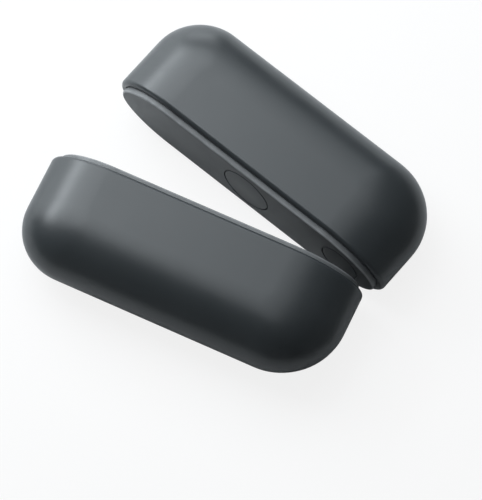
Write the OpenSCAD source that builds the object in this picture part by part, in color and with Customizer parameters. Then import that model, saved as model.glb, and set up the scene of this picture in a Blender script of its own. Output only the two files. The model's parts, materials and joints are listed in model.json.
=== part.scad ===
// Rechargeable hand warmer in two alike halves that magnets hold face to face.
// Each half is a pebble-shaped cup, closed by a raised panel on its mating side.
// A half is drawn in its own frame: X along its length, its rim in the plane y = 0,
// its body towards -Y, and its panel proud of the rim towards +Y, with z = 0 at mid-height.

/* [Half] */
// Length of one half
half_length = 105; // [96:1:112]
// Depth of one half, from the face of its panel to its rounded outer side
half_depth = 37; // [36:0.5:42]
// Height of one half as it lies, twice the radius of its rounded edges
half_height = 27; // [27:0.5:31]
// Outer corner radius at the left end, seen from above
corner_left = 17; // [16:0.5:20]
// Outer corner radius at the right end, seen from above
corner_right = 21.5; // [20:0.5:24]
// Wall thickness of the cup
wall = 2; // [1.8:0.1:2.1]
// Rounding of the cup's outer edge at the rim
rim_round = 1.4; // [0.8:0.1:1.4]

/* [Panel] */
// Height of the raised panel
panel_height = 22.5; // [22:0.1:22.6]
// How far the panel stands proud of the rim
panel_proud = 1.2; // [0.8:0.1:1.6]
// Thickness of the panel's plate
panel_plate = 2; // [1.8:0.1:2.4]
// Rounding of the panel's front edge
panel_round = 0.7; // [0.4:0.1:0.8]

/* [Button] */
// Diameter of the round power button
button_d = 16.9; // [15:0.1:17.2]
// Gap round the button and round the socket's cover
gap = 0.3; // [0.2:0.05:0.35]
// How far the button can be pressed in
button_travel = 0.4; // [0.2:0.05:0.4]

/* [Charging socket] */
// Place of the socket along the half
port_x = 37.3; // [36:0.1:38]
// Diameter of the round cover over the socket
cover_d = 13.4; // [13:0.1:13.6]
// Thickness of the cover's disc
cover_disc = 1.1; // [0.9:0.1:1.2]

/* [Battery] */
// Diameter of the cell
cell_d = 21.2; // [20.8:0.1:21.2]
// Length of the cell
cell_length = 70.2; // [68:0.1:70.4]
// Place of the cell's middle along the half
cell_x = 0.5; // [0:0.1:1]

/* [Opening] */
// Angle between the two halves as they lie
open_angle = 15; // [0:1:30]
// Gap between the two panels when the halves are closed
closed_gap = 0.3; // [0.2:0.05:1]
// Place of the swing's axis past the right end
pole_past_end = 2.2; // [2:0.1:3]
// Place of the swing's axis behind the left half's rim
pole_behind_rim = 13.5; // [13:0.1:14]
// Distance from the origin, at the middle of the left half's base, to its rim
rim_y = 12; // [11:0.5:13]

/* [Hidden] */
$fn = 72;
eps = 0.05;
over = 1;

// Radius of the rounded edges, and the core that this radius is wrapped round
edge_r = half_height / 2;
shell_depth = half_depth - panel_proud;
core_x = half_length / 2 - edge_r;
core_y = shell_depth - edge_r;
inner_r = edge_r - wall;

// Panel and the step behind it
panel_r = panel_height / 2;
panel_back = panel_proud - panel_plate;
skirt_r = panel_r - 1.05;
skirt_wall = 0.9;
skirt_back = -3.1;
clip_x = 30;
clip_w = 4;
clip_back = -5.5;
hook_out = 0.6;
hook_tall = 0.65;

// Chassis plate behind the panel
plate_r = inner_r - 0.2;
plate_front = -3.2;
plate_back = -4.7;
screw_x = [-45, 46.4];
boss_r = 2.5;
screw_r = 1;
screw_end = -11;

// Button, its pad and the switch under it
button_r = button_d / 2;
flange_r = button_r + 0.65;
ear = [22, 6];
flange_front = panel_back - eps;
flange_back = flange_front - 1;
post_r = 1.6;
post_end = -3.3;
pad_r = [5.6, 8.2];
switch_w = 6;
switch_tall = 2.2;
plunger_r = 1.7;
plunger_top = post_end - button_travel - eps;
switch_window = 4.6;

// Socket and its cover
cover_r = cover_d / 2;
well_r = cover_r + gap;
seat_r = well_r - 0.8;
seat_y = panel_proud - cover_disc - eps;
well_floor = -1.2;
well_back = -2.2;
well_wall = 0.7;
usb_w = 8.94;
usb_h = 3.26;
usb_wall = 0.3;
usb_mouth = -1.25;
usb_back_plate = 0.5;
tongue_w = 6.7;
tongue_t = 0.7;
tongue_front = -1.95;
plug_w = 8.1;
plug_h = 2.3;
plug_end = -3.2;

// Board
board_front = -6.4;
board_t = 1;
board_back = board_front - board_t;
board_x = [-13, 43.6];
board_half = 7.9;
board_corner = 1.5;
stake_x = [-10.5, 28];
stake_z = 6;
stake_r = 0.6;

// Magnets
magnet_r = 4.5;
magnet_t = 2.2;
magnet_x = [-37, -19.5, 19.5];
cup_wall = 1;

// Battery, its sleeve, tabs and film
cell_r = cell_d / 2;
sleeve_t = 0.15;
cap_r = 4.5;
cap_t = 0.4;
groove_from_end = 3;
groove_w = 1.2;
groove_deep = 0.6;
cell_ends = [cell_x - cell_length / 2, cell_x + cell_length / 2];
tab_t = 0.2;
tab_half = 3;
tab_low = -core_y - 4;
film_out = inner_r - eps;
film_t = 0.3;
film_x = [-34.5, 30.5];
film_front = -7;
pad_depth = 7.5;
pad_disc_r = 7;
pad_y = -core_y + 1.5;

// Saddles of the chassis, which hold the battery
saddle_x = [-26, 24];
saddle_t = 1.6;
saddle_deep = -16;
saddle_r = cell_r + sleeve_t + 0.1;
saddle_half = film_out - film_t - 0.15;
saddle_slot = [-9.6, 8.2];

// Axis of the swing, in the frame of the whole object
pole = [half_length / 2 + pole_past_end, rim_y - pole_behind_rim, 0];
closed_y = rim_y + 2 * panel_proud + closed_gap;

// Places a half that is drawn in its own frame
module left_half() {
    translate([0, rim_y, edge_r])
        children();
}

// The right half is the same one turned over, swung open about the pole
module right_half() {
    translate(pole)
        rotate([0, 0, -open_angle])
            translate([-pole[0], closed_y - pole[1], edge_r])
                rotate([180, 0, 0])
                    children();
}

// Draws a flat shape in X and Z, and gives it thickness from y = back to y = front
module facing(back, front) {
    translate([0, front, 0])
        rotate([90, 0, 0])
            linear_extrude(front - back)
                children();
}

// A round rod along Y
module rod(x, z, r, back, front) {
    translate([x, front, z])
        rotate([90, 0, 0])
            cylinder(h = front - back, r = r);
}

// A shape turned about an axis along Y, drawn with its height towards +Y
module turned(x, y) {
    translate([x, y, 0])
        rotate([-90, 0, 0])
            rotate_extrude()
                children();
}

// A slot with round ends: half-width between the centres, and radius
module slot_shape(half, r) {
    square([2 * half, 2 * r], center = true);
    for (side = [-1, 1])
        translate([side * half, 0])
            circle(r);
}

// Half section of a block with its front edge rounded
module half_section(r, tall, round) {
    square([r, tall - round]);
    square([r - round, tall]);
    translate([r - round, tall - round])
        circle(round);
}

// Whole section of the same block, with both front edges rounded
module whole_section(r, tall, round) {
    translate([0, -r + round])
        square([tall, 2 * (r - round)]);
    translate([0, -r])
        square([tall - round, 2 * r]);
    for (side = [-1, 1])
        translate([tall - round, side * (r - round)])
            circle(round);
}

// A block with the panel's stadium outline and a rounded front edge
module stadium_block(r, back, front, round) {
    translate([-core_x, back, 0])
        rotate([90, 0, 90])
            linear_extrude(2 * core_x)
                whole_section(r, front - back, round);
    for (side = [-1, 1])
        translate([side * core_x, back, 0])
            rotate([-90, 0, 0])
                rotate([0, 0, -side * 90])
                    rotate_extrude(angle = 180)
                        half_section(r, front - back, round);
}

// Section of a rounded edge that is swept round a corner
module corner_section(major, r) {
    translate([0, -r])
        square([major, 2 * r]);
    translate([major, 0])
        intersection() {
            circle(r);
            translate([0, -r])
                square([r, 2 * r]);
        }
}

// One end and corner of the pebble: the end's half-round and the corner's sweep
module pebble_end(side, corner, r, front, round) {
    major = corner - edge_r;
    straight = core_y - major;
    translate([side * core_x, -straight, 0])
        rotate([-90, 0, 0])
            rotate([0, 0, -side * 90])
                rotate_extrude(angle = 180)
                    half_section(r, straight + front, round);
    translate([side * core_x - (side + 1) / 2 * major, -straight, 0])
        rotate([90, 0, 90])
            linear_extrude(major)
                whole_section(r, straight + front, round);
    translate([side * (core_x - major), -straight, 0])
        rotate([0, 0, side > 0 ? 270 : 180])
            rotate_extrude(angle = 90)
                corner_section(major, r);
}

// The pebble's solid with its surface moved in by inset, open towards y = front
module pebble(inset, front, round) {
    r = edge_r - inset;
    from = -core_x + corner_left - edge_r;
    to = core_x - corner_right + edge_r;
    translate([from, -core_y, 0])
        rotate([90, 0, 90])
            linear_extrude(to - from) {
                whole_section(r, core_y + front, round);
                circle(r);
            }
    pebble_end(-1, corner_left, r, front, round);
    pebble_end(1, corner_right, r, front, round);
}

// Cup with two screw bosses that rise from its far wall
module outer_shell() {
    color("#3b3f42")
        difference() {
            union() {
                difference() {
                    pebble(0, 0, rim_round);
                    pebble(wall, over, eps);
                }
                intersection() {
                    pebble(wall / 2, 0, eps);
                    union()
                        for (x = screw_x)
                            rod(x, 0, boss_r, -shell_depth, plate_back - eps);
                }
            }
            for (x = screw_x)
                rod(x, 0, screw_r, screw_end - over, plate_back + over);
        }
}

// Raised panel: plate, skirt with four snap clips, button hole and socket well
module face_panel() {
    color("#44484b")
        difference() {
            union() {
                stadium_block(panel_r, panel_back, panel_proud, panel_round);
                facing(skirt_back, panel_back)
                    difference() {
                        slot_shape(core_x, skirt_r);
                        slot_shape(core_x, skirt_r - skirt_wall);
                    }
                rod(port_x, 0, well_r + well_wall, well_back, panel_back);
                panel_clips();
            }
            rod(0, 0, button_r + gap, panel_back - over, panel_proud + over);
            rod(port_x, 0, well_r, seat_y, panel_proud + over);
            rod(port_x, 0, seat_r, well_floor, panel_proud);
            translate([port_x, 0, 0])
                facing(well_back - over, well_floor + over)
                    slot_shape((usb_w - usb_h) / 2, usb_h / 2 + 0.25);
        }
}

// Snap clips that hook behind the chassis plate
module panel_clips() {
    for (x = [-clip_x, clip_x], side = [-1, 1])
        translate([x, 0, side * (skirt_r - skirt_wall / 2)])
            facing(clip_back, panel_back)
                square([clip_w, skirt_wall], center = true);
    for (x = [-clip_x, clip_x], side = [-1, 1])
        translate([x, 0, side * (skirt_r + hook_out / 2)])
            facing(clip_back, clip_back + hook_tall)
                square([clip_w, hook_out], center = true);
}

// Seal that the panel presses into the mouth of the cup
module face_gasket() {
    color("#1c1c1e")
        difference() {
            stadium_block(inner_r - eps, skirt_back, panel_back - eps, 0.5);
            facing(skirt_back - over, panel_back + over)
                slot_shape(core_x, skirt_r + eps);
        }
}

// Round cap, with the flange and ears that keep it in the panel, and the post that presses the switch
module power_button() {
    color("#44484b") {
        turned(0, flange_front)
            half_section(button_r, panel_proud - flange_front, 0.3);
        facing(flange_back, flange_front) {
            circle(flange_r);
            square(ear, center = true);
        }
        rod(0, 0, post_r, post_end, flange_back);
    }
}

// Silicone return ring between the flange and the chassis plate
module button_pad() {
    color("#8a8d90")
        facing(plate_front + eps, flange_back - button_travel - eps)
            difference() {
                circle(pad_r[1]);
                circle(pad_r[0]);
            }
}

// Square push switch on the board
module tact_switch() {
    color("#26282a") {
        facing(board_front, board_front + switch_tall)
            square(switch_w, center = true);
        rod(0, 0, plunger_r, board_front + switch_tall, plunger_top);
    }
}

// Silicone cover: a disc, and a plug that goes round the socket's tongue
module port_cover() {
    color("#3a3d40")
        translate([port_x, 0, 0])
            difference() {
                union() {
                    turned(0, seat_y + eps)
                        half_section(cover_r, cover_disc, 0.3);
                    facing(plug_end, seat_y + eps)
                        slot_shape((plug_w - plug_h) / 2, plug_h / 2);
                }
                facing(plug_end - over, tongue_front + 0.25)
                    square([tongue_w + 0.4, tongue_t + 0.5], center = true);
            }
}

// Metal shell of the charging socket, closed at the board
module usb_socket() {
    color("#b9bcc0")
        translate([port_x, 0, 0]) {
            facing(board_front + usb_back_plate, usb_mouth)
                difference() {
                    slot_shape((usb_w - usb_h) / 2, usb_h / 2);
                    slot_shape((usb_w - usb_h) / 2, usb_h / 2 - usb_wall);
                }
            facing(board_front, board_front + usb_back_plate)
                slot_shape((usb_w - usb_h) / 2, usb_h / 2);
        }
}

// Contact tongue inside the socket
module usb_tongue() {
    color("#141416")
        translate([port_x, 0, 0])
            facing(board_front + usb_back_plate, tongue_front)
                square([tongue_w, tongue_t], center = true);
}

// Outline of the board with rounded corners
module board_outline() {
    wide = board_x[1] - board_x[0];
    translate([board_x[0], -board_half + board_corner])
        square([wide, 2 * (board_half - board_corner)]);
    translate([board_x[0] + board_corner, -board_half])
        square([wide - 2 * board_corner, 2 * board_half]);
    for (x = [board_x[0] + board_corner, board_x[1] - board_corner], side = [-1, 1])
        translate([x, side * (board_half - board_corner)])
            circle(board_corner);
}

module circuit_board() {
    color("#1f5136")
        difference() {
            facing(board_back, board_front)
                board_outline();
            for (x = stake_x, side = [-1, 1])
                rod(x, side * stake_z, stake_r + 0.1, board_back - over, board_front + over);
        }
}

// A box-shaped component that stands on the back of the board
module back_chip(x, z, w, h, tall) {
    translate([x, 0, z])
        facing(board_back - tall, board_back)
            square([w, h], center = true);
}

// Chips, coil and capacitors on the back of the board, and two lamps on its front
module board_parts() {
    color("#2b2b2e") {
        back_chip(5, -3.5, 5, 6, 1.5);
        back_chip(20.5, 3, 4, 4, 0.9);
        rod(12.6, 3.4, 3, board_back - 2, board_back);
        for (i = [0:4])
            back_chip(15.5 + 2.4 * i, -5.5, 1.6, 0.8, 0.8);
        for (side = [-1, 1])
            translate([-7, 0, side * 3])
                facing(board_front, board_front + 0.6)
                    square([1.6, 0.8], center = true);
    }
}

// Chassis: plate behind the panel, magnet cups, board stakes and two battery saddles
module mid_frame() {
    color("#55585b")
        difference() {
            union() {
                facing(plate_back, plate_front)
                    slot_shape(core_x, plate_r);
                for (x = magnet_x)
                    rod(x, 0, magnet_r + 0.1 + cup_wall, plate_front, panel_back - 0.35);
                for (x = stake_x, side = [-1, 1]) {
                    rod(x, side * stake_z, 1.6, board_front, plate_back);
                    rod(x, side * stake_z, stake_r, board_back - 0.8, board_front);
                }
                for (x = saddle_x)
                    saddle(x);
            }
            for (x = magnet_x)
                rod(x, 0, magnet_r + 0.1, plate_front, panel_back + over);
            for (x = screw_x)
                rod(x, 0, screw_r + 0.15, plate_back - over, plate_front + over);
            rod(0, 0, switch_window, plate_back - over, plate_front + over);
            translate([port_x, 0, 0])
                facing(plate_back - over, plate_front + over)
                    square([usb_w + 0.8, usb_h + 0.8], center = true);
            for (x = [-clip_x, clip_x], side = [-1, 1])
                translate([x, 0, side * (skirt_r - 0.15)])
                    facing(plate_back - over, plate_front + over)
                        square([clip_w + 0.6, 2.1], center = true);
        }
}

// A rib whose hollow edge lies against the battery, with a slot for the board and its parts
module saddle(x) {
    translate([x - saddle_t / 2, 0, 0])
        rotate([90, 0, 90])
            linear_extrude(saddle_t)
                difference() {
                    translate([saddle_deep, -saddle_half])
                        square([plate_back - saddle_deep, 2 * saddle_half]);
                    translate([-core_y, 0])
                        circle(saddle_r);
                    translate([saddle_slot[0], -saddle_slot[1]])
                        square([-saddle_slot[0], 2 * saddle_slot[1]]);
                }
}

module magnets() {
    color("#c9ccd0")
        for (x = magnet_x)
            rod(x, 0, magnet_r, plate_front + eps, plate_front + eps + magnet_t);
}

// Round cell with its crimped groove and raised contact
module battery_cell() {
    color("#a7abb0")
        translate([cell_ends[0], -core_y, 0])
            rotate([0, 90, 0]) {
                difference() {
                    cylinder(h = cell_length, r = cell_r);
                    translate([0, 0, cell_length - groove_from_end])
                        difference() {
                            cylinder(h = groove_w, r = cell_r + over);
                            cylinder(h = groove_w, r = cell_r - groove_deep);
                        }
                }
                translate([0, 0, cell_length])
                    cylinder(h = cap_t, r = cap_r);
            }
}

module battery_sleeve() {
    color("#2f6f9f")
        translate([cell_ends[0], -core_y, 0])
            rotate([0, 90, 0])
                difference() {
                    cylinder(h = cell_length, r = cell_r + sleeve_t);
                    translate([0, 0, -over])
                        cylinder(h = cell_length + 2 * over, r = cell_r);
                }
}

// Strip against one end of the cell, folded on to the back of the board
module tab(end_x, outward, board_end) {
    low_x = outward > 0 ? end_x : end_x - tab_t;
    translate([low_x, tab_low, -tab_half])
        cube([tab_t, board_back - tab_low, 2 * tab_half]);
    translate([min(low_x, board_end), board_back - tab_t, -tab_half])
        cube([abs(board_end - low_x), tab_t, 2 * tab_half]);
}

module battery_tabs() {
    color("#d7d3c4") {
        tab(cell_ends[1] + cap_t, 1, 31);
        tab(cell_ends[0], -1, -11);
    }
}

// Film bent round the battery against the cup's inner wall, with its tail to the board
module heater_film() {
    color("#c98a3c") {
        translate([film_x[0], 0, 0])
            rotate([90, 0, 90])
                linear_extrude(film_x[1] - film_x[0])
                    film_section();
        translate([14, film_front - film_t, board_half])
            cube([6, film_t, film_out - board_half]);
    }
}

module film_section() {
    difference() {
        union() {
            translate([-core_y, 0])
                circle(film_out);
            translate([-core_y, -film_out])
                square([core_y + film_front, 2 * film_out]);
        }
        translate([-core_y, 0])
            circle(film_out - film_t);
        translate([-core_y, -film_out + film_t])
            square([core_y + film_front + over, 2 * (film_out - film_t)]);
    }
}

// Bead on the film, with its two legs up to the board
module thermistor() {
    bead_r = 0.8;
    bead_z = -film_out + film_t + bead_r;
    leg_r = 0.2;
    leg_y = -9;
    color("#3a2a1a") {
        translate([6, leg_y, bead_z])
            rotate([0, 90, 0])
                cylinder(h = 2.6, r = bead_r);
        for (x = [6.7, 7.9]) {
            translate([x, leg_y, bead_z])
                cylinder(h = -6.9 - bead_z, r = leg_r);
            rod(x, -6.9, leg_r, leg_y, board_back);
        }
    }
}

// Foam between the cell's ends and the screw bosses
module end_pads() {
    color("#5b5b60")
        for (x = [cell_ends[0] - tab_t - pad_depth, cell_ends[1] + cap_t + tab_t])
            translate([x, pad_y, 0])
                rotate([0, 90, 0])
                    cylinder(h = pad_depth, r = pad_disc_r);
}

// Two cross-headed screws from the chassis into the cup's bosses
module frame_screws() {
    head_r = 1.7;
    head_t = 0.85;
    cross = [2.2, 0.5];
    color("#8d9094")
        for (x = screw_x)
            difference() {
                union() {
                    rod(x, 0, head_r, plate_front, plate_front + head_t);
                    rod(x, 0, screw_r - eps, screw_end, plate_front);
                }
                translate([x, 0, 0])
                    facing(plate_front + head_t / 2, plate_front + head_t + over) {
                        square(cross, center = true);
                        square([cross[1], cross[0]], center = true);
                    }
            }
}

left_half() outer_shell();  // left_outer_shell
left_half() face_panel();  // left_face_panel
left_half() face_gasket();  // left_face_gasket
left_half() power_button();  // left_power_button
left_half() button_pad();  // left_button_pad
left_half() tact_switch();  // left_tact_switch
left_half() port_cover();  // left_port_cover
left_half() usb_socket();  // left_usb_socket
left_half() usb_tongue();  // left_usb_tongue
left_half() circuit_board();  // left_circuit_board
left_half() board_parts();  // left_board_parts
left_half() mid_frame();  // left_mid_frame
left_half() magnets();  // left_magnets
left_half() battery_cell();  // left_battery_cell
left_half() battery_sleeve();  // left_battery_sleeve
left_half() battery_tabs();  // left_battery_tabs
left_half() heater_film();  // left_heater_film
left_half() thermistor();  // left_thermistor
left_half() end_pads();  // left_end_pads
left_half() frame_screws();  // left_frame_screws
right_half() outer_shell();  // right_outer_shell
right_half() face_panel();  // right_face_panel
right_half() face_gasket();  // right_face_gasket
right_half() power_button();  // right_power_button
right_half() button_pad();  // right_button_pad
right_half() tact_switch();  // right_tact_switch
right_half() port_cover();  // right_port_cover
right_half() usb_socket();  // right_usb_socket
right_half() usb_tongue();  // right_usb_tongue
right_half() circuit_board();  // right_circuit_board
right_half() board_parts();  // right_board_parts
right_half() mid_frame();  // right_mid_frame
right_half() magnets();  // right_magnets
right_half() battery_cell();  // right_battery_cell
right_half() battery_sleeve();  // right_battery_sleeve
right_half() battery_tabs();  // right_battery_tabs
right_half() heater_film();  // right_heater_film
right_half() thermistor();  // right_thermistor
right_half() end_pads();  // right_end_pads
right_half() frame_screws();  // right_frame_screws
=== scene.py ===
import json
import math

import bmesh
import bpy
from bpy.props import FloatProperty, FloatVectorProperty, PointerProperty
from bpy.types import Operator, Panel, PropertyGroup
from mathutils import Matrix, Vector
from mathutils.geometry import tessellate_polygon


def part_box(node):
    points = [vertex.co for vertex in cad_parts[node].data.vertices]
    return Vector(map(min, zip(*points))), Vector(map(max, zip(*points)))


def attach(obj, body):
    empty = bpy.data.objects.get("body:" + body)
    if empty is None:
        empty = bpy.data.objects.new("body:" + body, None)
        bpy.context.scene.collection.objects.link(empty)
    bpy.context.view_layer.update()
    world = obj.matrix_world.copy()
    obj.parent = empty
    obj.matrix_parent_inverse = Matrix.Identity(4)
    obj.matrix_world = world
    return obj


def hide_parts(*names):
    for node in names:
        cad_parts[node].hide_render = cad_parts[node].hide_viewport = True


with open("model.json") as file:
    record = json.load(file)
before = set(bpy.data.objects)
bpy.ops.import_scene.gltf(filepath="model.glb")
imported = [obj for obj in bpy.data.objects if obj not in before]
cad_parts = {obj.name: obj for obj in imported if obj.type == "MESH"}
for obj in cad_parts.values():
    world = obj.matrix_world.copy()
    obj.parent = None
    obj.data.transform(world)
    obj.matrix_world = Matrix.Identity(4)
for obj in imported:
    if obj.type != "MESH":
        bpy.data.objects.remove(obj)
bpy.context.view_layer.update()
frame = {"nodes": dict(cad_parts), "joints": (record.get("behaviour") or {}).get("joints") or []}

bl_info = {
    "name": "Hand Warmer in Two Halves",
    "version": (1, 0, 0),
    "blender": (4, 5, 0),
    "location": "View3D > Sidebar > Hand Warmer",
    "description": "Builds a rechargeable hand warmer in two halves, with its finishes and its studio",
    "category": "Add Mesh",
}

MM = 0.001
SIDES = ("left", "right")

# Name of the attribute that keeps each point's place in the half's own frame, for the finishes
PLACE = "place_in_half"

# How far the button's flange goes beyond its cap
FLANGE_REACH = 0.65 * MM

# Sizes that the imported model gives
shell_low, shell_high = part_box("left_outer_shell")
panel_low, panel_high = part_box("left_face_panel")
button_low, button_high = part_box("left_power_button")
cover_low, cover_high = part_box("left_port_cover")
swing = next(joint for joint in frame["joints"] if joint["name"] == "halves_swing")


def length(name, description, default):
    """A size in the sidebar, rounded to a hundredth of a millimetre."""
    return FloatProperty(name=name, description=description, default=round(default, 5), unit="LENGTH",
                         subtype="DISTANCE", precision=5)


def bearing(name, description, degrees):
    """An angle in the sidebar."""
    return FloatProperty(name=name, description=description, default=math.radians(degrees), subtype="ANGLE",
                         unit="ROTATION")


def portion(name, description, default):
    """A number from 0 to 1 in the sidebar."""
    return FloatProperty(name=name, description=description, default=default, min=0, max=1,
                         subtype="FACTOR")


def colour(name, description, default):
    """A colour in the sidebar."""
    return FloatVectorProperty(name=name, description=description, default=default, subtype="COLOR", size=3,
                               min=0, max=1)


def power(name, description, default):
    """A lamp's power in the sidebar, in watts."""
    return FloatProperty(name=name, description=description, default=default, min=0, unit="POWER")


class WarmerShape(PropertyGroup):
    """Sizes of one half, in its own frame: body towards -Y, panel towards +Y, mid-height at z = 0."""
    half_length: length("Length", "Length of a half", round(shell_high.x - shell_low.x, 4))
    right_reach: length("Right reach", "How much further than half the length the right end goes", 0.3 * MM)
    height: length("Height", "Height of a half as it lies", shell_high.z - shell_low.z)
    back_y: length("Outer side", "Place of the rounded outer side", shell_low.y - shell_high.y)
    rim_y: length("Rim", "Place of the cup's rim", -0.6 * MM)
    front_y: length("Panel face", "Place of the panel's face", panel_high.y - shell_high.y)
    run_left: length("Left edge run", "How far the left end's rounding runs over the flats", 20.5 * MM)
    run_right: length("Right edge run", "How far the right end's rounding runs over the flats", 24 * MM)
    run_back: length("Back edge run", "How far the outer side's rounding runs over the flats", 18.3 * MM)
    corner_left: length("Left corner", "Outer radius of the left corner, from above", 17 * MM)
    corner_right: length("Right corner", "Outer radius of the right corner, from above", 20.8 * MM)
    wall: length("Wall", "Thickness of the cup's wall", 2 * MM)
    rim_round: length("Rim rounding", "Rounding of the cup's outer edge at the rim", 1.4 * MM)
    mouth_round: length("Mouth rounding", "Rounding of the cup's inner edge at the rim", 0.15 * MM)
    panel_inset: length("Panel inset", "How far the panel's outline lies inside the cup's", 2.25 * MM)
    panel_plate: length("Panel plate", "Thickness of the panel's plate", 2 * MM)
    panel_round: length("Panel rounding", "Rounding of the panel's front edge", 0.7 * MM)
    button_d: length("Button", "Diameter of the power button's cap",
                     button_high.z - button_low.z - 2 * FLANGE_REACH)
    cover_d: length("Cover", "Diameter of the socket's cover", cover_high.x - cover_low.x)
    cover_disc: length("Cover thickness", "Thickness of the cover's disc", 1.1 * MM)
    port_x: length("Socket place", "Place of the socket along the half", (cover_low.x + cover_high.x) / 2)
    gap: length("Gap", "Gap round the button and round the cover", 0.3 * MM)
    edge_round: length("Small edges", "Rounding of the button's and the cover's edges", 0.3 * MM)
    hole_round: length("Hole edges", "Rounding of the edges of the panel's holes", 0.15 * MM)
    closed_gap: length("Closed gap", "Gap between the panels when the halves are closed", 0.3 * MM)


class WarmerFinish(PropertyGroup):
    """Colours and roughness of the pieces that show."""
    shell: colour("Cup", "Soft-touch coat of the cups", (0.033, 0.037, 0.0395))
    panel: colour("Panel", "Coat of the raised panels", (0.032, 0.036, 0.0385))
    button: colour("Button", "Coat of the power buttons", (0.033, 0.037, 0.0395))
    cover: colour("Socket cover", "Silicone of the socket covers", (0.029, 0.033, 0.0355))
    # Painted highlight: a lighter colour along the panels' rounded front edges, standing in for the light
    # those edges catch
    edge_highlight: colour("Rubbed edge", "Panels' edges, where the coat is rubbed lighter", (0.22, 0.224, 0.228))
    roughness: portion("Cup roughness", "Roughness of the cups' soft-touch coat", 0.33)
    panel_roughness: portion("Panel roughness", "Roughness of the panels and of what sits in them", 0.45)


class WarmerStudio(PropertyGroup):
    """Camera, floor, lamps and the room's even light."""
    azimuth: bearing("Azimuth", "Turn of the camera about the vertical", 25)
    elevation: bearing("Elevation", "Height of the camera above the horizon", 68.57)
    distance: length("Distance", "Distance from the camera to what it aims at", 1.3)
    aim: FloatVectorProperty(name="Aim", description="Point that the camera aims at",
                             default=(12.83 * MM, 8.45 * MM, 14 * MM), subtype="XYZ", unit="LENGTH", size=3)
    lens: FloatProperty(name="Lens", description="Focal length in millimetres, on a 36 mm sensor",
                        default=305.67, unit="CAMERA")
    floor_size: length("Floor", "Side of the floor", 6)
    floor_drop: length("Floor drop", "How far the floor lies below the halves", 0.02 * MM)
    floor_tone: portion("Floor tone", "Share of the light that the floor sends back", 0.82)
    shadow_share: portion("Shadow share", "Share of the floor's own light in what shows", 0.15)
    top_power: power("Top lamp", "Power of the bright lamp above and past the left end", 5.3)
    middle_power: power("Middle lamp", "Power of the large lamp above the left end", 2.6)
    over_power: power("Overhead lamp", "Power of the long lamp above the middle", 0.85)
    left_power: power("Left lamp", "Power of the lamp past the left end", 2.1)
    back_power: power("Back lamp", "Power of the lamp behind the left end", 1.8)
    front_power: power("Front fill", "Power of the weak lamp on the camera's side", 0.12)
    right_power: power("Right fill", "Power of the weak lamp past the right end", 0.14)
    lamp_colour: colour("Lamp colour", "Colour of the lamps' light", (0.894, 0.952, 0.991))
    sky: portion("Sky", "Strength of the even light of the room", 0.02)


# Points and faces

def turn(first, last, steps):
    """Angles in radians from first to last degrees, both included."""
    return [math.radians(first + (last - first) * i / steps) for i in range(steps + 1)]


def spread(first, last, steps):
    """Numbers from first to last, both included."""
    return [first + (last - first) * i / steps for i in range(steps + 1)]


class Skin:
    """Points and faces of one piece, in the half's own frame."""

    def __init__(self):
        self.mesh = bmesh.new()

    def loop(self, points):
        return [self.mesh.verts.new(point) for point in points]

    def band(self, first, second):
        """Joins two closed loops with the same number of points."""
        for i in range(len(first)):
            self.mesh.faces.new((first[i - 1], first[i], second[i], second[i - 1]))

    def strip(self, first, second):
        """Joins two open rows with the same number of points."""
        for i in range(1, len(first)):
            self.mesh.faces.new((first[i - 1], first[i], second[i], second[i - 1]))

    def sweep(self, loops):
        """Joins each loop with the next."""
        for first, second in zip(loops, loops[1:]):
            self.band(first, second)

    def plate(self, outer, *holes):
        """Fills a flat loop and leaves its holes open."""
        loops = [outer, *holes]
        corners = [vert for loop in loops for vert in loop]
        for three in tessellate_polygon([[vert.co for vert in loop] for loop in loops]):
            self.mesh.faces.new([corners[i] for i in three])

    def fan(self, loop):
        """Fills a bent loop from its middle."""
        middle = self.mesh.verts.new(sum((vert.co for vert in loop), Vector()) / len(loop))
        for i in range(len(loop)):
            self.mesh.faces.new((loop[i - 1], loop[i], middle))

    def block(self, low, high):
        """A closed box between two corners."""
        lows = self.loop([(low[0], low[1], low[2]), (high[0], low[1], low[2]),
                          (high[0], low[1], high[2]), (low[0], low[1], high[2])])
        highs = self.loop([(low[0], high[1], low[2]), (high[0], high[1], low[2]),
                           (high[0], high[1], high[2]), (low[0], high[1], high[2])])
        self.band(lows, highs)
        self.mesh.faces.new(lows)
        self.mesh.faces.new(highs)

    def finish(self, name):
        """Turns the faces outwards and gives the mesh, smooth except at sharp edges."""
        bmesh.ops.recalc_face_normals(self.mesh, faces=self.mesh.faces)
        data = bpy.data.meshes.new(name)
        self.mesh.to_mesh(data)
        self.mesh.free()
        data.shade_smooth()
        data.set_sharp_from_angle(angle=CREASE)
        return data


# Faces along each part of a surface
ARC_STEPS = 36
CORNER_STEPS = 20
SIDE_STEPS = 14
END_STEPS = 6
ROUND_STEPS = 6
CIRCLE_STEPS = 96

# Creases wider than this angle stay sharp
CREASE = math.radians(32)

# How much wide faces count against narrow ones in the shading, where 50 is even
FACE_WEIGHT = 80

# Corners of the flats' outline, and outer corners of the wall round the cavity, both seen from above
FLAT_CORNER = 2 * MM
CAVITY_CORNERS = (17 * MM, 21.5 * MM)

# Measures in a half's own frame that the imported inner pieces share
SKIRT_BACK = -3.1 * MM
LEDGE_Y = -3.15 * MM
MOUTH_INSET = 2.1 * MM
SKIRT_INSET = 3.3 * MM
SKIRT_WALL = 0.9 * MM
PLAY = 0.05 * MM
BOSS_PLACES = (-45 * MM, 46.4 * MM)
CLIP_PLACES = (-30 * MM, 30 * MM)


def round_edge(r, y, radius, outwards=1):
    """Radii and places of a rounded edge, from its wall at r to its face at y. Outwards is -1 in a hole."""
    return [(r - outwards * radius * (1 - math.cos(a)), y - radius * (1 - math.sin(a)))
            for a in turn(0, 90, ROUND_STEPS)]


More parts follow.
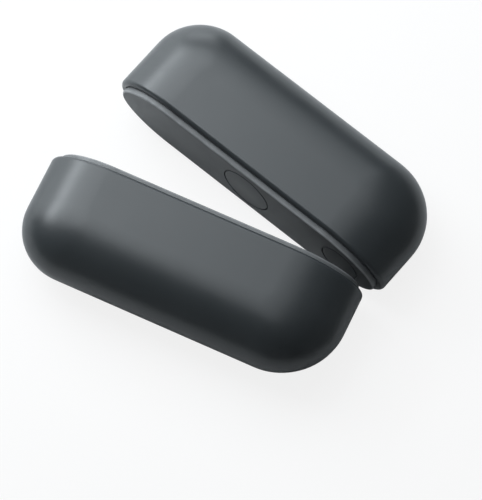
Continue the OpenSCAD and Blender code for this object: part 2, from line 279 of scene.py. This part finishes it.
def hoop(ends, back, corners, front):
    """A U seen from above, from the left end's front round the back to the right end's front."""
    (left, right), (left_r, right_r) = ends, corners
    points = [(left, y) for y in spread(front, back + left_r, END_STEPS)[:-1]]
    points += [(left + left_r * (1 + math.cos(a)), back + left_r * (1 + math.sin(a)))
               for a in turn(180, 270, CORNER_STEPS)]
    points += [(x, back) for x in spread(left + left_r, right - right_r, SIDE_STEPS)[1:-1]]
    points += [(right - right_r * (1 - math.cos(a)), back + right_r * (1 + math.sin(a)))
               for a in turn(270, 360, CORNER_STEPS)]
    points += [(right, y) for y in spread(back + right_r, front, END_STEPS)[1:]]
    return points


def joined(left, top, right, base):
    """One loop from the four parts of an outline."""
    return left + top + right[::-1] + base[::-1]


class Form:
    """A pebble: flats above and below, and edges that curve from the flats' outline out to its own."""

    def __init__(self, tall, ends, back, corners, flat_ends, flat_back, flat_corners):
        self.tall = tall
        self.outline = (ends, back, corners)
        self.flats = (flat_ends, flat_back, flat_corners)

    def rim(self, skin, out, y):
        """The four parts of the open side's outline, moved out by that much."""
        ends, flats = self.outline[0], self.flats[0]
        arcs = []
        for end, flat in zip(ends, flats):
            run = abs(end - flat)
            way = 1 if end > flat else -1
            points = []
            for a in turn(-90, 90, ARC_STEPS):
                outwards = Vector((math.cos(a) / run, 0, math.sin(a) / self.tall)).normalized() * out
                points.append((flat + way * (run * math.cos(a) + outwards.x), y,
                               self.tall * math.sin(a) + outwards.z))
            arcs.append(skin.loop(points))
        left, right = arcs
        along = spread(*flats, SIDE_STEPS)[1:-1]
        top = skin.loop([(x, y, self.tall + out) for x in along])
        base = skin.loop([(x, y, -self.tall - out) for x in along])
        return left, top, right, base

    def ring(self, skin, out, y):
        """The open side's whole outline, moved out by that much."""
        return joined(*self.rim(skin, out, y))

    def skin_over(self, skin, front):
        """The surface from the open side at y = front round the back. It gives the open side's loop."""
        left, top, right, base = self.rim(skin, 0, front)
        inner, outer = hoop(*self.flats, front), hoop(*self.outline, front)
        columns = [left]
        for near, far in list(zip(inner, outer))[1:-1]:
            near, reach = Vector((*near, 0)), Vector((*far, 0)) - Vector((*near, 0))
            columns.append(skin.loop([near + reach * math.cos(a) + Vector((0, 0, self.tall * math.sin(a)))
                                      for a in turn(-90, 90, ARC_STEPS)]))
        columns.append(right)
        for first, second in zip(columns, columns[1:]):
            skin.strip(first, second)
        skin.mesh.faces.new([column[-1] for column in columns] + top[::-1])
        skin.mesh.faces.new([column[0] for column in columns] + base[::-1])
        return joined(left, top, right, base)


def outer_form(shape):
    """The outside of a cup, with long soft edges."""
    left, right = -shape.half_length / 2, shape.half_length / 2 + shape.right_reach
    return Form(shape.height / 2, (left, right), shape.back_y, (shape.corner_left, shape.corner_right),
                (left + shape.run_left, right - shape.run_right), shape.back_y + shape.run_back,
                (FLAT_CORNER, FLAT_CORNER))


def cavity_form(shape):
    """The room inside a cup, with fully round edges round the battery."""
    end, tall = shape.half_length / 2, shape.height / 2
    room, back = tall - shape.wall, shape.back_y + shape.wall
    corners = (CAVITY_CORNERS[0] - shape.wall, CAVITY_CORNERS[1] - shape.wall)
    return Form(room, (-end + shape.wall, end - shape.wall), back, corners,
                (-end + tall, end - tall), back + room, (corners[0] - room, corners[1] - room))


def circle_loop(skin, x, r, y):
    return skin.loop([(x + r * math.cos(a), y, r * math.sin(a)) for a in turn(0, 360, CIRCLE_STEPS)[:-1]])


def slot_loop(skin, x, half, r, y):
    """A slot's outline with round ends."""
    steps = CIRCLE_STEPS // 4
    points = [(x + half + r * math.cos(a), y, r * math.sin(a)) for a in turn(-90, 90, steps)]
    points += [(x - half + r * math.cos(a), y, r * math.sin(a)) for a in turn(90, 270, steps)]
    return skin.loop(points)


def screw_boss(skin, x, form, sink):
    """A post with a blind bore, from inside the wall of the cavity's corner out towards the rim."""
    boss_r, bore_r, front, bore_end = 2.5 * MM, 1 * MM, -4.75 * MM, -12 * MM
    ends, back, corners = form.outline
    flat_corners = form.flats[2]
    hand = 1 if x > 0 else 0
    corner_x = ends[hand] - (1 if hand else -1) * corners[hand]
    rooted = circle_loop(skin, x, boss_r, 0)
    for vert in rooted:
        reach = flat_corners[hand] + math.sqrt((form.tall + sink) ** 2 - vert.co.z ** 2)
        vert.co.y = back + corners[hand] - math.sqrt(reach ** 2 - (vert.co.x - corner_x) ** 2)
    places = ((boss_r, front), (bore_r, front), (bore_r, bore_end))
    rings = [circle_loop(skin, x, *place) for place in places]
    skin.sweep([rooted, *rings])
    skin.fan(rooted)
    skin.plate(rings[-1])


def cup_mesh(shape):
    """The cup: soft outside, rounded rim, mouth with its ledge, room for the battery, two screw bosses."""
    skin = Skin()
    outer, cavity = outer_form(shape), cavity_form(shape)
    outside = outer.skin_over(skin, shape.rim_y - shape.rim_round)
    edges = round_edge(0, shape.rim_y, shape.rim_round)[1:]
    edges += round_edge(-MOUTH_INSET, shape.rim_y, shape.mouth_round, -1)[::-1] + [(-MOUTH_INSET, LEDGE_Y)]
    loops = [outer.ring(skin, *place) for place in edges]
    skin.sweep([outside, *loops])
    inside = cavity.skin_over(skin, LEDGE_Y)
    skin.plate(inside, loops[-1])
    for x in BOSS_PLACES:
        screw_boss(skin, x, cavity, shape.wall / 2)
    return skin.finish("cup")


def gasket_mesh(shape):
    """The foam seal between the cup's mouth and the panel's skirt."""
    skin = Skin()
    outer = outer_form(shape)
    far, near = -MOUTH_INSET - PLAY, -SKIRT_INSET + PLAY
    front = shape.front_y - shape.panel_plate - PLAY
    loops = [outer.ring(skin, *place) for place in
             ((far, SKIRT_BACK), (far, front), (near, front), (near, SKIRT_BACK))]
    skin.sweep([*loops, loops[0]])
    return skin.finish("gasket")


def panel_mesh(shape):
    """The raised panel: plate with two holes, skirt with its clips, and the well behind the cover."""
    skin = Skin()
    outer = outer_form(shape)
    front = shape.front_y
    back = front - shape.panel_plate
    skirt_near, skirt_far = -SKIRT_INSET - SKIRT_WALL, -SKIRT_INSET
    edges = round_edge(-shape.panel_inset, front, shape.panel_round)[::-1]
    edges += [(-shape.panel_inset, back), (skirt_far, back), (skirt_far, SKIRT_BACK),
              (skirt_near, SKIRT_BACK), (skirt_near, back)]
    outline = [outer.ring(skin, *place) for place in edges]
    skin.sweep(outline)

    hole_r = shape.button_d / 2 + shape.gap
    hole = [circle_loop(skin, 0, *place) for place in
            round_edge(hole_r, front, shape.hole_round, -1)[::-1] + [(hole_r, back)]]
    skin.sweep(hole)

    well_r = shape.cover_d / 2 + shape.gap
    seat_y = front - shape.cover_disc - PLAY
    seat_width, well_wall, well_floor, well_back = 0.8 * MM, 0.7 * MM, -1.2 * MM, -2.2 * MM
    well = [circle_loop(skin, shape.port_x, *place) for place in
            round_edge(well_r, front, shape.hole_round, -1)[::-1]
            + [(well_r, seat_y), (well_r - seat_width, seat_y), (well_r - seat_width, well_floor)]]
    skin.sweep(well)
    slot_half, slot_r = 2.84 * MM, 1.88 * MM
    slot = [slot_loop(skin, shape.port_x, slot_half, slot_r, y) for y in (well_floor, well_back)]
    skin.sweep(slot)
    ring = [circle_loop(skin, shape.port_x, well_r + well_wall, y) for y in (well_back, back)]
    skin.sweep(ring)

    skin.plate(outline[0], hole[0], well[0])
    skin.plate(outline[-1], hole[-1], ring[-1])
    skin.plate(well[-1], slot[0])
    skin.plate(ring[0], slot[-1])

    clip_half, clip_back, hook_front, hook_out = 2 * MM, -5.5 * MM, -4.85 * MM, 0.6 * MM
    for x in CLIP_PLACES:
        for side in (-1, 1):
            near, far = side * (outer.tall + skirt_near), side * (outer.tall + skirt_far)
            for first, second, front_y in ((near, far, back), (far, far + side * hook_out, hook_front)):
                skin.block((x - clip_half, clip_back, min(first, second)),
                           (x + clip_half, front_y, max(first, second)))
    return skin.finish("panel")


def button_mesh(shape):
    """The power button: round cap, flange with two ears, and the post behind it."""
    skin = Skin()
    r = shape.button_d / 2
    flange_front = shape.front_y - shape.panel_plate - PLAY
    flange_back = flange_front - 1 * MM
    flange_r, post_r, post_end = r + FLANGE_REACH, 1.6 * MM, -3.3 * MM
    places = round_edge(r, shape.front_y, shape.edge_round)[::-1]
    places += [(r, flange_front), (flange_r, flange_front), (flange_r, flange_back), (post_r, flange_back),
               (post_r, post_end)]
    rings = [circle_loop(skin, 0, *place) for place in places]
    skin.sweep(rings)
    skin.plate(rings[0])
    skin.plate(rings[-1])
    ear_end, ear_root, ear_half = 11 * MM, r - 1 * MM, 3 * MM
    for low, high in ((-ear_end, -ear_root), (ear_root, ear_end)):
        skin.block((low, flange_back, -ear_half), (high, flange_front, ear_half))
    return skin.finish("button")


def cover_mesh(shape):
    """The socket's cover: round disc with a plug behind it that goes round the socket's tongue."""
    skin = Skin()
    r = shape.cover_d / 2
    back = shape.front_y - shape.cover_disc
    plug_half, plug_r, plug_end = 2.9 * MM, 1.15 * MM, -3.2 * MM
    rings = [circle_loop(skin, shape.port_x, *place) for place in
             round_edge(r, shape.front_y, shape.edge_round)[::-1] + [(r, back)]]
    skin.sweep(rings)
    skin.plate(rings[0])
    plug = [slot_loop(skin, shape.port_x, plug_half, plug_r, y) for y in (back, plug_end)]
    skin.sweep(plug)
    skin.plate(rings[-1], plug[0])
    hollow_x, hollow_z, hollow_end = 3.55 * MM, 0.6 * MM, -1.7 * MM
    corners = ((-1, -1), (1, -1), (1, 1), (-1, 1))
    hollow = [skin.loop([(shape.port_x + i * hollow_x, y, j * hollow_z) for i, j in corners])
              for y in (plug_end, hollow_end)]
    skin.sweep(hollow)
    skin.plate(plug[-1], hollow[0])
    skin.mesh.faces.new(hollow[-1])
    return skin.finish("cover")


# Finishes

class Finish:
    """One procedural material. Sizes are in metres, in a half's own frame or in the whole object's."""

    def __init__(self, name, base, roughness, own_frame=False, **values):
        self.material = bpy.data.materials.new(name)
        self.material.use_nodes = True
        self.tree = self.material.node_tree
        self.shader = self.tree.nodes["Principled BSDF"]
        self.shader.inputs["Base Color"].default_value = (*base, 1)
        self.shader.inputs["Roughness"].default_value = roughness
        for key, value in values.items():
            self.shader.inputs[key.replace("_", " ")].default_value = value
        self.base = base
        self.place = (self.node("ShaderNodeAttribute", attribute_name=PLACE).outputs["Vector"] if own_frame
                      else self.node("ShaderNodeTexCoord").outputs["Object"])
        self.normal = None

    def feed(self, socket, value):
        """Links a socket to another one, or sets its value."""
        if isinstance(value, bpy.types.NodeSocket):
            self.tree.links.new(value, socket)
        else:
            socket.default_value = value

    def node(self, kind, inputs=None, **settings):
        made = self.tree.nodes.new(kind)
        for key, value in settings.items():
            setattr(made, key, value)
        for key, value in (inputs or {}).items():
            self.feed(made.inputs[key], value)
        return made

    def maths(self, operation, first, second=0.0):
        return self.node("ShaderNodeMath", {0: first, 1: second}, operation=operation).outputs[0]

    def vector(self, operation, first, second=(0, 0, 0), result="Vector"):
        return self.node("ShaderNodeVectorMath", {0: first, 1: second}, operation=operation).outputs[result]

    def noise(self, size, detail=2.0, place=None):
        """Cloudy values about 0.5, with features of that size."""
        inputs = {"Vector": place or self.place, "Scale": 1 / size, "Detail": detail, "Roughness": 0.5}
        return self.node("ShaderNodeTexNoise", inputs).outputs["Fac"]

    def remap(self, value, low, high, first, last):
        """Goes softly from first to last while the value goes from low to high."""
        inputs = {"Value": value, "From Min": low, "From Max": high, "To Min": first, "To Max": last}
        return self.node("ShaderNodeMapRange", inputs, interpolation_type="SMOOTHSTEP").outputs["Result"]

    def mix(self, share, first, second):
        """A colour between two colours."""
        made = self.node("ShaderNodeMix", data_type="RGBA")
        for name, value in (("Factor", share), ("A", first), ("B", second)):
            socket = next(socket for socket in made.inputs if socket.name == name and socket.enabled)
            self.feed(socket, (*value, 1) if isinstance(value, tuple) else value)
        return next(socket for socket in made.outputs if socket.enabled)

    def shade(self, factor):
        """The base colour made lighter or darker."""
        return tuple(min(1, c * factor) for c in self.base)

    def colour(self, value):
        self.tree.links.new(value, self.shader.inputs["Base Color"])

    def rough(self, value):
        self.tree.links.new(value, self.shader.inputs["Roughness"])

    def bump(self, height, depth):
        """Raises the surface by depth where height is 1, on top of any bump before it."""
        inputs = {"Height": height, "Strength": 1.0, "Distance": depth}
        if self.normal:
            inputs["Normal"] = self.normal
        self.normal = self.node("ShaderNodeBump", inputs).outputs["Normal"]
        self.tree.links.new(self.normal, self.shader.inputs["Normal"])

    def axis(self, name):
        return self.node("ShaderNodeSeparateXYZ", {"Vector": self.place}).outputs[name]


def coat(name, base, roughness, wear_and_highlight, edge_highlight=None, grain=0.16 * MM, depth=0.0035 * MM):
    """Soft-touch satin coat: mottle, fine grain, handled patches, and a lighter mark: polish where hands
    rub, painted highlight on panel edges.
    """
    mottle_size, patch_size = 22 * MM, 9 * MM
    made = Finish(name, base, roughness, own_frame=True)
    tinted = made.mix(made.noise(mottle_size, 3), made.shade(0.95), made.shade(1.05))
    handled = made.remap(made.noise(patch_size, 4), 0.35, 0.7, roughness - 0.015, roughness + 0.02)
    if wear_and_highlight:
        # Lighter colour where the mask rises: wear on the cups' rims and the buttons, a painted highlight
        # on the panels' edges
        wear_and_highlight_mask = wear_and_highlight(made)
        tinted = made.mix(wear_and_highlight_mask, tinted, edge_highlight or made.shade(1.12))
        handled = made.maths("SUBTRACT", handled, made.maths("MULTIPLY", wear_and_highlight_mask, 0.04))
    made.colour(tinted)
    made.rough(handled)
    made.bump(made.noise(grain, 2), depth)
    return made.material


def patchy(made, wear_and_highlight_mask, size, least):
    """Breaks up a mask, wear on the cups' rims and painted highlight on the panels' edges, into patches of
    that size, down to the least share.
    """
    return made.maths("MULTIPLY", wear_and_highlight_mask, made.remap(made.noise(size, 3), 0.3, 0.7, least, 1))


def rim_polish(made):
    """Rises to 1 at the cup's rounded rim."""
    shape = bpy.context.scene.warmer_shape
    rim = made.remap(made.axis("Y"), shape.rim_y - shape.rim_round, shape.rim_y - 0.2 * MM, 0, 1)
    return patchy(made, rim, 5 * MM, 0.2)


def edge_highlight_mask(made):
    """Painted highlight: rises to 1 where the panel's face rounds over at its outline, but not round its
    two holes.
    """
    shape = bpy.context.scene.warmer_shape
    depth = made.maths("SUBTRACT", shape.front_y, made.axis("Y"))
    edge = made.maths("MULTIPLY", made.remap(depth, 0.01 * MM, 0.05 * MM, 0, 1),
                      made.remap(depth, 0.35 * MM, 0.7 * MM, 1, 0.45))
    flat = made.vector("MULTIPLY", made.vector("ABSOLUTE", made.place), (1, 0, 1))
    for x, r in ((0, shape.button_d / 2), (shape.port_x, shape.cover_d / 2)):
        reach = made.vector("DISTANCE", flat, (x, 0, 0), "Value")
        edge = made.maths("MULTIPLY", edge, made.remap(reach, r + 0.6 * MM, r + 0.8 * MM, 0, 1))
    return patchy(made, edge, 4 * MM, 0.7)


def thumb_polish(made):
    """Rises to 1 at the middle of the button, where the thumb presses."""
    flat = made.vector("MULTIPLY", made.place, (1, 0, 1))
    return made.remap(made.vector("LENGTH", flat, result="Value"), 7.5 * MM, 1.5 * MM, 0, 1)


def moulded(name, base, roughness, grain=0.3 * MM, depth=0.006 * MM):
    """Plain moulded plastic or rubber with a fine grain."""
    made = Finish(name, base, roughness)
    made.colour(made.mix(made.noise(6 * MM, 3), made.shade(0.9), made.shade(1.1)))
    made.rough(made.remap(made.noise(2 * MM, 3), 0.3, 0.7, roughness - 0.05, roughness + 0.05))
    made.bump(made.noise(grain, 2), depth)
    return made.material


def foam(name, base):
    """Open foam: round cells that show as pits, with painted shade darkening each pit."""
    made = Finish(name, base, 0.9)
    inputs = {"Vector": made.place, "Scale": 1 / (0.5 * MM)}
    cells = made.node("ShaderNodeTexVoronoi", inputs).outputs["Distance"]
    # Painted shade: darker towards the middle of each pit, lighter at the cells' rims
    made.colour(made.mix(cells, made.shade(0.6), made.shade(1.25)))
    made.bump(cells, 0.08 * MM)
    return made.material


def sheet_metal(name, base, roughness, along=(1, 12, 12), depth=0.002 * MM):
    """Rolled or plated metal with fine lines along one way."""
    made = Finish(name, base, roughness, Metallic=1.0)
    lines = made.noise(1.2 * MM, 4, made.vector("MULTIPLY", made.place, along))
    made.colour(made.mix(lines, made.shade(0.85), made.shade(1.1)))
    made.rough(made.remap(lines, 0.3, 0.7, roughness - 0.06, roughness + 0.08))
    made.bump(lines, depth)
    return made.material


def solder_mask(name, base):
    """Circuit board: lacquer over faint copper lines."""
    made = Finish(name, base, 0.35, Coat_Weight=0.3)
    inputs = {"Vector": made.place, "Scale": 1 / (2.2 * MM), "Distortion": 3.0, "Detail": 1.0}
    lines = made.node("ShaderNodeTexWave", inputs, bands_direction="X").outputs["Fac"]
    traces = made.remap(lines, 0.45, 0.55, 0, 1)
    made.colour(made.mix(traces, made.shade(0.7), made.shade(1.4)))
    made.bump(traces, 0.02 * MM)
    return made.material


def heater_foil(name, base):
    """Amber film with the dark winding of its heater track."""
    made = Finish(name, base, 0.25, Coat_Weight=0.5)
    inputs = {"Vector": made.place, "Scale": 1 / (3.5 * MM), "Distortion": 0.0}
    rows = made.node("ShaderNodeTexWave", inputs, bands_direction="X").outputs["Fac"]
    track = made.remap(rows, 0.55, 0.65, 0, 1)
    made.colour(made.mix(track, base, made.shade(0.35)))
    made.bump(track, 0.02 * MM)
    return made.material


def inner_finishes():
    """Finishes of the pieces inside the cups, by the name of the piece."""
    return {
        "button_pad": moulded("pad_silicone_finish", (0.3, 0.31, 0.32), 0.6),
        "tact_switch": moulded("switch_black_finish", (0.015, 0.015, 0.016), 0.5),
        "usb_socket": sheet_metal("socket_steel_finish", (0.55, 0.56, 0.58), 0.3),
        "usb_tongue": moulded("tongue_black_finish", (0.012, 0.012, 0.013), 0.5),
        "circuit_board": solder_mask("board_green_finish", (0.01, 0.07, 0.03)),
        "board_parts": moulded("chip_black_finish", (0.02, 0.02, 0.022), 0.45),
        "mid_frame": moulded("chassis_plastic_finish", (0.05, 0.052, 0.055), 0.55),
        "magnets": sheet_metal("magnet_plating_finish", (0.62, 0.6, 0.56), 0.2, (4, 4, 4)),
        "battery_cell": sheet_metal("cell_metal_finish", (0.5, 0.51, 0.53), 0.35),
        "battery_sleeve": moulded("cell_sleeve_finish", (0.02, 0.09, 0.2), 0.3, 1.5 * MM, 0.01 * MM),
        "battery_tabs": sheet_metal("tab_nickel_finish", (0.6, 0.58, 0.5), 0.3),
        "heater_film": heater_foil("film_amber_finish", (0.35, 0.15, 0.03)),
        "thermistor": moulded("bead_brown_finish", (0.03, 0.016, 0.01), 0.35),
        "end_pads": foam("end_foam_finish", (0.06, 0.06, 0.063)),
        "frame_screws": sheet_metal("screw_zinc_finish", (0.5, 0.5, 0.52), 0.35, (3, 10, 3)),
    }


# Placing

def half_matrix(side, shape):
    """Places a half's own frame in the whole object's frame, as the halves lie."""
    up = Vector((0, 0, shape.height / 2))
    if side == "left":
        return Matrix.Translation(Vector((0, shell_high.y, 0)) + up)
    pole = Vector(swing["pos_m"])
    opened = Matrix.Rotation(-math.radians(swing["range_deg"][1]), 4, "Z")
    closed = Vector((0, shell_high.y + 2 * shape.front_y + shape.closed_gap, 0)) + up
    return (Matrix.Translation(pole) @ opened @ Matrix.Translation(closed - pole)
            @ Matrix.Rotation(math.pi, 4, "X"))


def place_pair(kind, data, material, body, node):
    """Makes the left and the right piece of one kind, each on its body and in place of its plain solid."""
    shape = bpy.context.scene.warmer_shape
    data.materials.append(material)
    for side in SIDES:
        half = data.copy()
        place = half.attributes.new(PLACE, "FLOAT_VECTOR", "POINT")
        for i, vert in enumerate(half.vertices):
            place.data[i].vector = vert.co if side == "left" else vert.co * Vector((-1, 1, 1))
        half.transform(half_matrix(side, shape))
        piece = bpy.data.objects.new(side + "_" + kind, half)
        bpy.context.scene.collection.objects.link(piece)
        weighted = piece.modifiers.new("Even shading", "WEIGHTED_NORMAL")
        weighted.keep_sharp = True
        weighted.weight = FACE_WEIGHT
        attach(piece, side + "_" + body)
        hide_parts(side + "_" + node)


class WARMER_OT_cups(Operator):
    """Builds the two pebble-shaped cups"""
    bl_idname = "mesh.warmer_cups"
    bl_label = "Add Cups"

    def execute(self, context):
        scene = context.scene
        finish = scene.warmer_finish
        material = coat("cup_coat", finish.shell, finish.roughness, rim_polish)
        data = cup_mesh(scene.warmer_shape)
        place_pair("cup", data, material, "half", "outer_shell")
        return {"FINISHED"}


class WARMER_OT_gaskets(Operator):
    """Builds the two seals in the cups' mouths"""
    bl_idname = "mesh.warmer_gaskets"
    bl_label = "Add Seals"

    def execute(self, context):
        data = gasket_mesh(context.scene.warmer_shape)
        material = foam("seal_foam_finish", (0.02, 0.02, 0.021))
        place_pair("gasket", data, material, "half", "face_gasket")
        return {"FINISHED"}


class WARMER_OT_panels(Operator):
    """Builds the two raised panels"""
    bl_idname = "mesh.warmer_panels"
    bl_label = "Add Panels"

    def execute(self, context):
        scene = context.scene
        finish = scene.warmer_finish
        # The panels' edges get a lighter colour, a painted highlight
        edge_highlight = tuple(finish.edge_highlight)
        material = coat("panel_coat", finish.panel, finish.panel_roughness, edge_highlight_mask, edge_highlight)
        data = panel_mesh(scene.warmer_shape)
        place_pair("panel", data, material, "half", "face_panel")
        return {"FINISHED"}


class WARMER_OT_buttons(Operator):
    """Builds the two power buttons"""
    bl_idname = "mesh.warmer_buttons"
    bl_label = "Add Buttons"

    def execute(self, context):
        scene = context.scene
        finish = scene.warmer_finish
        material = coat("button_coat", finish.button, finish.panel_roughness, thumb_polish)
        data = button_mesh(scene.warmer_shape)
        place_pair("button", data, material, "button", "power_button")
        return {"FINISHED"}


class WARMER_OT_covers(Operator):
    """Builds the two covers over the charging sockets"""
    bl_idname = "mesh.warmer_covers"
    bl_label = "Add Socket Covers"

    def execute(self, context):
        scene = context.scene
        finish = scene.warmer_finish
        roughness = finish.panel_roughness + 0.05
        material = coat("cover_silicone", finish.cover, roughness, None, grain=0.22 * MM, depth=0.006 * MM)
        data = cover_mesh(scene.warmer_shape)
        place_pair("cover", data, material, "half", "port_cover")
        return {"FINISHED"}


class WARMER_OT_inner_finishes(Operator):
    """Gives each piece inside the cups its finish"""
    bl_idname = "mesh.warmer_inner_finishes"
    bl_label = "Finish Inner Pieces"

    def execute(self, context):
        for kind, material in inner_finishes().items():
            for side in SIDES:
                data = frame["nodes"][side + "_" + kind].data
                data.materials.clear()
                data.materials.append(material)
        return {"FINISHED"}


# Lamps: name, place, the point each faces, and its width and height
LAMPS = (
    ("top", (-0.57, 0.25, 0.4), (-0.57, 0.25, 0), (0.24, 0.6)),
    ("middle", (-0.25, 0.25, 0.4), (-0.25, 0.25, 0), (0.36, 0.55)),
    ("over", (0, 0.35, 0.4), (0, 0.35, 0), (0.2, 0.9)),
    ("left", (-0.7, 0.4, 0.2), (0, 0.4, 0.2), (0.8, 0.36)),
    ("back", (-0.45, 0.9, 0.2), (-0.45, 0, 0.2), (0.5, 0.36)),
    ("front", (0, -0.6, 0.2), (0, 0, 0.2), (1, 0.36)),
    ("right", (0.6, 0, 0.2), (0, 0, 0.2), (1, 0.36)),
)


def add_lamp(name, place, aim, size, watts, tint):
    """A soft lamp that doesn't show itself to the camera."""
    data = bpy.data.lights.new(name, "AREA")
    data.shape = "RECTANGLE"
    data.size, data.size_y = size
    data.energy = watts
    data.color = tint
    lamp = bpy.data.objects.new(name, data)
    bpy.context.scene.collection.objects.link(lamp)
    lamp.location = place
    lamp.rotation_mode = "QUATERNION"
    lamp.rotation_quaternion = (Vector(aim) - Vector(place)).to_track_quat("-Z", "Y")
    lamp.visible_camera = False


def camera_share(tree, share):
    """That share on rays from the camera, and 0 on the rays that light things."""
    path = tree.nodes.new("ShaderNodeLightPath")
    scaled = tree.nodes.new("ShaderNodeMath")
    scaled.operation = "MULTIPLY"
    scaled.inputs[1].default_value = share
    tree.links.new(path.outputs["Is Camera Ray"], scaled.inputs[0])
    return scaled.outputs[0]


def floor_material(studio):
    """White floor that shows white, less a share of its own shadow."""
    material = bpy.data.materials.new("floor_white")
    material.use_nodes = True
    tree = material.node_tree
    tree.nodes.clear()
    output = tree.nodes.new("ShaderNodeOutputMaterial")
    matt = tree.nodes.new("ShaderNodeBsdfDiffuse")
    matt.inputs["Color"].default_value = (studio.floor_tone, studio.floor_tone, studio.floor_tone, 1)
    glow = tree.nodes.new("ShaderNodeEmission")
    blend = tree.nodes.new("ShaderNodeMixShader")
    tree.links.new(camera_share(tree, 1 - studio.shadow_share), blend.inputs["Fac"])
    tree.links.new(matt.outputs[0], blend.inputs[1])
    tree.links.new(glow.outputs[0], blend.inputs[2])
    tree.links.new(blend.outputs[0], output.inputs["Surface"])
    return material


def add_floor(studio):
    half = studio.floor_size / 2
    data = bpy.data.meshes.new("floor")
    data.from_pydata([(-half, -half, 0), (half, -half, 0), (half, half, 0), (-half, half, 0)], [],
                     [(0, 1, 2, 3)])
    data.materials.append(floor_material(studio))
    floor = bpy.data.objects.new("floor", data)
    bpy.context.scene.collection.objects.link(floor)
    floor.location.z = -studio.floor_drop


def light_room(studio):
    """Even grey light all round, and white where the camera looks past the floor."""
    world = bpy.data.worlds.new("room")
    world.use_nodes = True
    tree = world.node_tree
    light = tree.nodes["Background"]
    light.inputs["Strength"].default_value = studio.sky
    white = tree.nodes.new("ShaderNodeBackground")
    white.inputs["Color"].default_value = (1, 1, 1, 1)
    blend = tree.nodes.new("ShaderNodeMixShader")
    tree.links.new(camera_share(tree, 1), blend.inputs["Fac"])
    tree.links.new(light.outputs[0], blend.inputs[1])
    tree.links.new(white.outputs[0], blend.inputs[2])
    tree.links.new(blend.outputs[0], tree.nodes["World Output"].inputs["Surface"])
    bpy.context.scene.world = world


def add_camera(studio):
    data = bpy.data.cameras.new("camera")
    data.lens = studio.lens
    camera = bpy.data.objects.new("camera", data)
    bpy.context.scene.collection.objects.link(camera)
    flat = math.cos(studio.elevation)
    back = Vector((math.sin(studio.azimuth) * flat, -math.cos(studio.azimuth) * flat,
                   math.sin(studio.elevation)))
    camera.location = Vector(studio.aim) + back * studio.distance
    camera.rotation_mode = "QUATERNION"
    camera.rotation_quaternion = (-back).to_track_quat("-Z", "Y")
    bpy.context.scene.camera = camera


class WARMER_OT_studio(Operator):
    """Builds the floor, the lamps, the room's even light and the camera"""
    bl_idname = "scene.warmer_studio"
    bl_label = "Add Studio"

    def execute(self, context):
        studio = context.scene.warmer_studio
        add_floor(studio)
        for name, place, aim, size in LAMPS:
            add_lamp(name + "_lamp", place, aim, size, getattr(studio, name + "_power"), studio.lamp_colour)
        light_room(studio)
        add_camera(studio)
        context.scene.view_settings.view_transform = "Standard"
        return {"FINISHED"}


class WARMER_PT_sidebar(Panel):
    """Lists the sizes, the finishes and the steps"""
    bl_label = "Hand Warmer"
    bl_space_type = "VIEW_3D"
    bl_region_type = "UI"
    bl_category = "Hand Warmer"

    def draw(self, context):
        scene = context.scene
        for values in (scene.warmer_shape, scene.warmer_finish, scene.warmer_studio):
            box = self.layout.box()
            for key in values.__annotations__:
                box.prop(values, key)
        for step in STEPS:
            self.layout.operator(step.bl_idname)


STEPS = (WARMER_OT_cups, WARMER_OT_gaskets, WARMER_OT_panels, WARMER_OT_buttons, WARMER_OT_covers,
         WARMER_OT_inner_finishes, WARMER_OT_studio)
CLASSES = (WarmerShape, WarmerFinish, WarmerStudio, *STEPS, WARMER_PT_sidebar)


def register():
    for made in CLASSES:
        bpy.utils.register_class(made)
    bpy.types.Scene.warmer_shape = PointerProperty(type=WarmerShape)
    bpy.types.Scene.warmer_finish = PointerProperty(type=WarmerFinish)
    bpy.types.Scene.warmer_studio = PointerProperty(type=WarmerStudio)


def unregister():
    del bpy.types.Scene.warmer_studio
    del bpy.types.Scene.warmer_finish
    del bpy.types.Scene.warmer_shape
    for made in reversed(CLASSES):
        bpy.utils.unregister_class(made)


def main():
    register()
    bpy.ops.mesh.warmer_cups()
    bpy.ops.mesh.warmer_gaskets()
    bpy.ops.mesh.warmer_panels()
    bpy.ops.mesh.warmer_buttons()
    bpy.ops.mesh.warmer_covers()
    bpy.ops.mesh.warmer_inner_finishes()
    bpy.ops.scene.warmer_studio()


if __name__ == "__main__":
    main()
